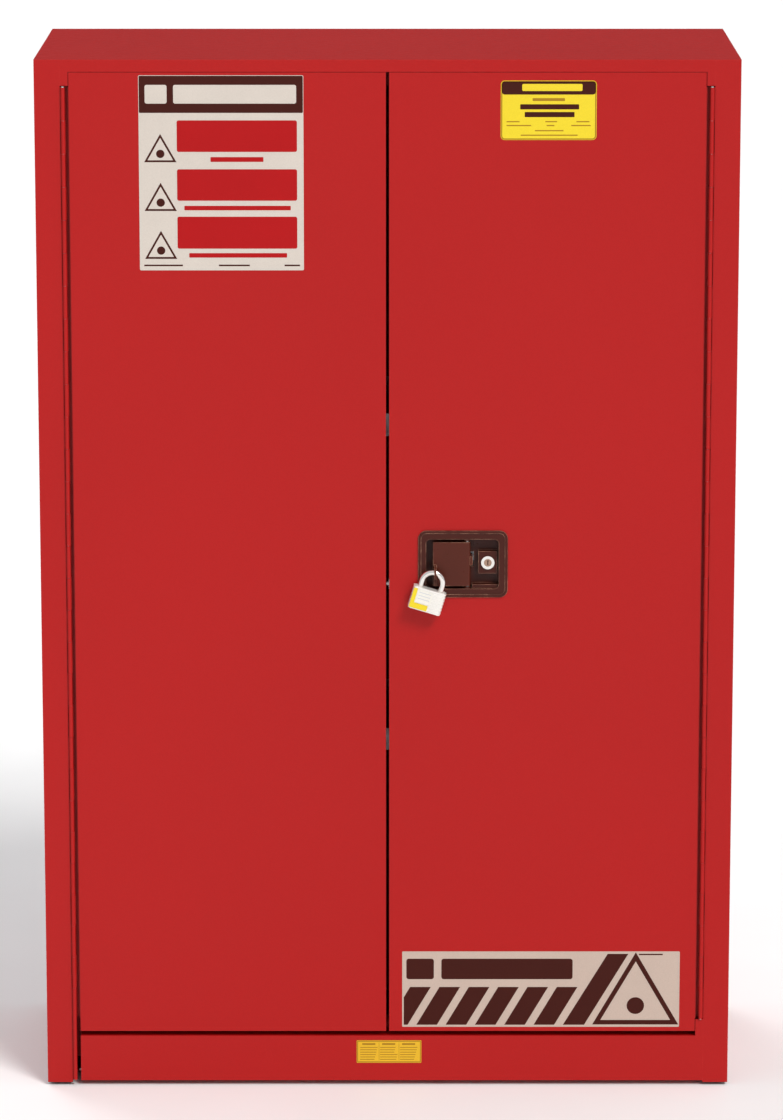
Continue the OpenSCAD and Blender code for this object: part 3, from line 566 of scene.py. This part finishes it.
def padlock():
    joints = {j["name"]: j for j in frame["joints"]}
    down = Vector(joints["padlock_drop"]["axis"]).normalized()
    lo, hi = (Vector(v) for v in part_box("padlock_case"))
    tilt = Matrix.Rotation(math.atan2(-down.x, -down.z), 4, "Y")
    place = Matrix.Translation((lo + hi) / 2) @ tilt
    w, h, t = CASE_W, CASE_H, CASE_T
    gap, inset = 0.04, 0.55

    bm = bmesh.new()
    pitch = h / PLATES
    for i in range(PLATES):
        plate(bm, -h / 2 + i * pitch, -h / 2 + (i + 1) * pitch - gap, 0.0 if i % 2 else inset)
    for sx in (-1, 1):
        for sy in (-1, 1):
            for up in (-1, 1):
                rivet(bm, sx * (w / 2 - 5), sy * (t / 2 - 4.5), up * h / 2, up)
    ob = obj_from(bm, "padlock_laminations", ["laminated_steel"])
    ob.data.transform(place)
    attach(ob, "padlock_case")
    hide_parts("padlock_case")

    # a yellow corner, and a white field with three plain bars, on the front
    bm = bmesh.new()
    front = (-t / 2 - 0.22) * MM
    root = (-t / 2 + 0.05) * MM
    foot = rect(-w / 2 + 1.2, 3.5, -h / 2 + 1.6, -h / 2 + 10.5, 0.8)
    side = rect(-w / 2 + 1.2, -w / 2 + 7.5, -h / 2 + 9.9, h / 2 - 2.4, 0.8)
    field = rect(-w / 2 + 8.6, 6.0, -h / 2 + 11.6, h / 2 - 2.6, 0.8)
    prism(bm, foot, root, front, 0)
    prism(bm, side, root, front + 0.00002, 0)
    prism(bm, field, root, front + 0.00004, 1)
    for k in range(3):
        z = h / 2 - 8 - k * 5
        prism(bm, rect(-w / 2 + 11, 3.5, z, z + 1.1), front + 0.00008, front - 0.00001, 2)
    band = obj_from(bm, "padlock_band", ["label_yellow", "sticker_white", "zinc_plate"])
    band.data.transform(place)
    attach(band, "padlock_case")


# ---------- vent caps: fluted cup with a square wrench boss ----------
def vent_cap(side):
    name = "left_vent_cap" if side < 0 else "right_vent_cap"
    lo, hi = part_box(name)
    cy, cz = (lo[1] + hi[1]) / 2, (lo[2] + hi[2]) / 2
    big = (hi[1] - lo[1]) / 2
    tip = hi[0] if side > 0 else -lo[0]
    back = tip - 0.017
    face = tip - 0.006
    n, flutes, flute_depth = 168, 28, 0.0009
    profile = [(back, big - 0.0033), (back, big - 0.0009), (back + 0.0009, big), (face - 0.0016, big),
               (face, big - 0.0016), (face, big - 0.0065), (face - 0.0007, big - 0.0072),
               (face - 0.0007, 0.0215), (face, 0.0205)]
    bm = bmesh.new()
    rings = []
    for x, r in profile:
        ring = []
        for i in range(n):
            a = 2 * math.pi * i / n
            cut = flute_depth * max(0.0, math.cos(flutes * a)) if r > big - 0.0002 else 0.0
            ring.append(bm.verts.new((side * x, cy + (r - cut) * math.cos(a), cz + (r - cut) * math.sin(a))))
        rings.append(ring)
    inner = [bm.verts.new((side * (face - 0.0029), cy + (big - 0.0033) * math.cos(2 * math.pi * i / n),
                           cz + (big - 0.0033) * math.sin(2 * math.pi * i / n))) for i in range(n)]
    for a, b in zip([inner] + rings, rings):
        for i in range(n):
            j = (i + 1) % n
            bm.faces.new((a[i], a[j], b[j], b[i]))
    bm.faces.new(rings[-1])
    bm.faces.new(list(reversed(inner)))

    def square(x, half):
        return [bm.verts.new((side * x, cy + sy * half, cz + sz * half))
                for sy, sz in ((-1, -1), (1, -1), (1, 1), (-1, 1))]

    boss, socket, c = 0.0130, 0.0080, 0.0009     # half widths of the wrench boss and its hollow
    loops = [square(face - 0.0004, 0.0138), square(face + 0.0006, boss), square(tip - c, boss),
             square(tip, boss - c), square(tip, socket + c), square(tip - c, socket),
             square(tip - 0.0042, socket - 0.0001)]
    for a, b in zip(loops, loops[1:]):
        for i in range(4):
            j = (i + 1) % 4
            bm.faces.new((a[i], a[j], b[j], b[i]))
    bm.faces.new(loops[-1])
    bm.faces.new(list(reversed(loops[0])))
    ob = obj_from(bm, name + "_casting", ["zinc_plate"])
    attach(ob, name)
    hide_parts(name)


# ---------- rod springs: round wire with closed ends ----------------------------------------
def coil(name, node):
    """Stands for a rod spring."""
    lo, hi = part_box(node)
    cx, cy = (lo[0] + hi[0]) / 2, (lo[1] + hi[1]) / 2
    wire, turns, steps, sides = 0.0008, 7.5, 28, 10
    radius = (hi[0] - lo[0]) / 2 - wire
    z0, z1 = lo[2] + wire, hi[2] - wire
    closed = 2.05 * wire
    bm = bmesh.new()
    rings = []
    n = int(turns * steps)
    for i in range(n + 1):
        t = i / steps
        if t < 1:
            z = z0 + closed * t
        elif t > turns - 1:
            z = z1 - closed * (turns - t)
        else:
            z = z0 + closed + (z1 - z0 - 2 * closed) * (t - 1) / (turns - 2)
        a = 2 * math.pi * t
        out = Vector((math.cos(a), math.sin(a), 0))
        mid = Vector((cx, cy, z)) + out * radius
        ring = []
        for j in range(sides):
            b = 2 * math.pi * j / sides
            ring.append(bm.verts.new(mid + out * (wire * math.cos(b)) + Vector((0, 0, wire * math.sin(b)))))
        rings.append(ring)
    for a, b in zip(rings, rings[1:]):
        for j in range(sides):
            k = (j + 1) % sides
            bm.faces.new((a[j], a[k], b[k], b[j]))
    bm.faces.new(list(reversed(rings[0])))
    bm.faces.new(rings[-1])
    for f in bm.faces:
        f.smooth = len(f.verts) == 4
    ob = obj_from(bm, name, ["spring_steel"])
    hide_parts(node)
    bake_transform(ob)


# ---------- finish on the CAD nodes ----------
SOFT_EDGE = {     # bevel width in mm
    "latch_pan": 0.9, "paddle": 0.8, "lock_cylinder": 0.6, "lock_plug": 0.25, "top_panel": 0.5,
    "left_side_panel": 0.4, "right_side_panel": 0.4, "header_panel": 0.4, "sill_panel": 0.4,
    "left_door_skin": 0.5, "right_door_skin": 0.5,
    "lower_shelf": 0.4, "upper_shelf": 0.4, "sump_pan": 0.4,
}
# The paddle's lighter brown is painted light; the plug's brownish tint is a painted reflection.
SPECIAL = {"paddle": "paddle_enamel_painted_lighter", "lock_plug": "plug_steel_painted_reflection"}


def finish_nodes():
    slots = {s["node"]: s["material_slot"] for s in frame["record"]["subparts"]}
    for name, ob in NODES.items():
        mat = M[SPECIAL.get(name, slots[name])]
        if ob.material_slots:
            for s in ob.material_slots:
                s.material = mat
        else:
            ob.data.materials.append(mat)
        if name in SOFT_EDGE:
            b = ob.modifiers.new("edge", "BEVEL")
            b.width = SOFT_EDGE[name] * MM
            b.segments = 2
            b.limit_method = "ANGLE"
            b.angle_limit = math.radians(40)
            b.use_clamp_overlap = True
            b.harden_normals = False


def floor():
    half, drop = 90.0, 0.0002
    corners = ((-half, -half, 0), (half, -half, 0), (half, half, 0), (-half, half, 0))
    bm = bmesh.new()
    bm.faces.new([bm.verts.new(p) for p in corners])
    ob = obj_from(bm, "studio_floor", ["floor"])
    ob.location.z = -drop


studio()
M = materials()
floor()
finish_nodes()
door_notice()
door_plate()
banner()
sill_plate()
padlock()
vent_cap(-1)
vent_cap(1)
coil("upper_coil", "upper_rod_spring")
coil("lower_coil", "lower_rod_spring")
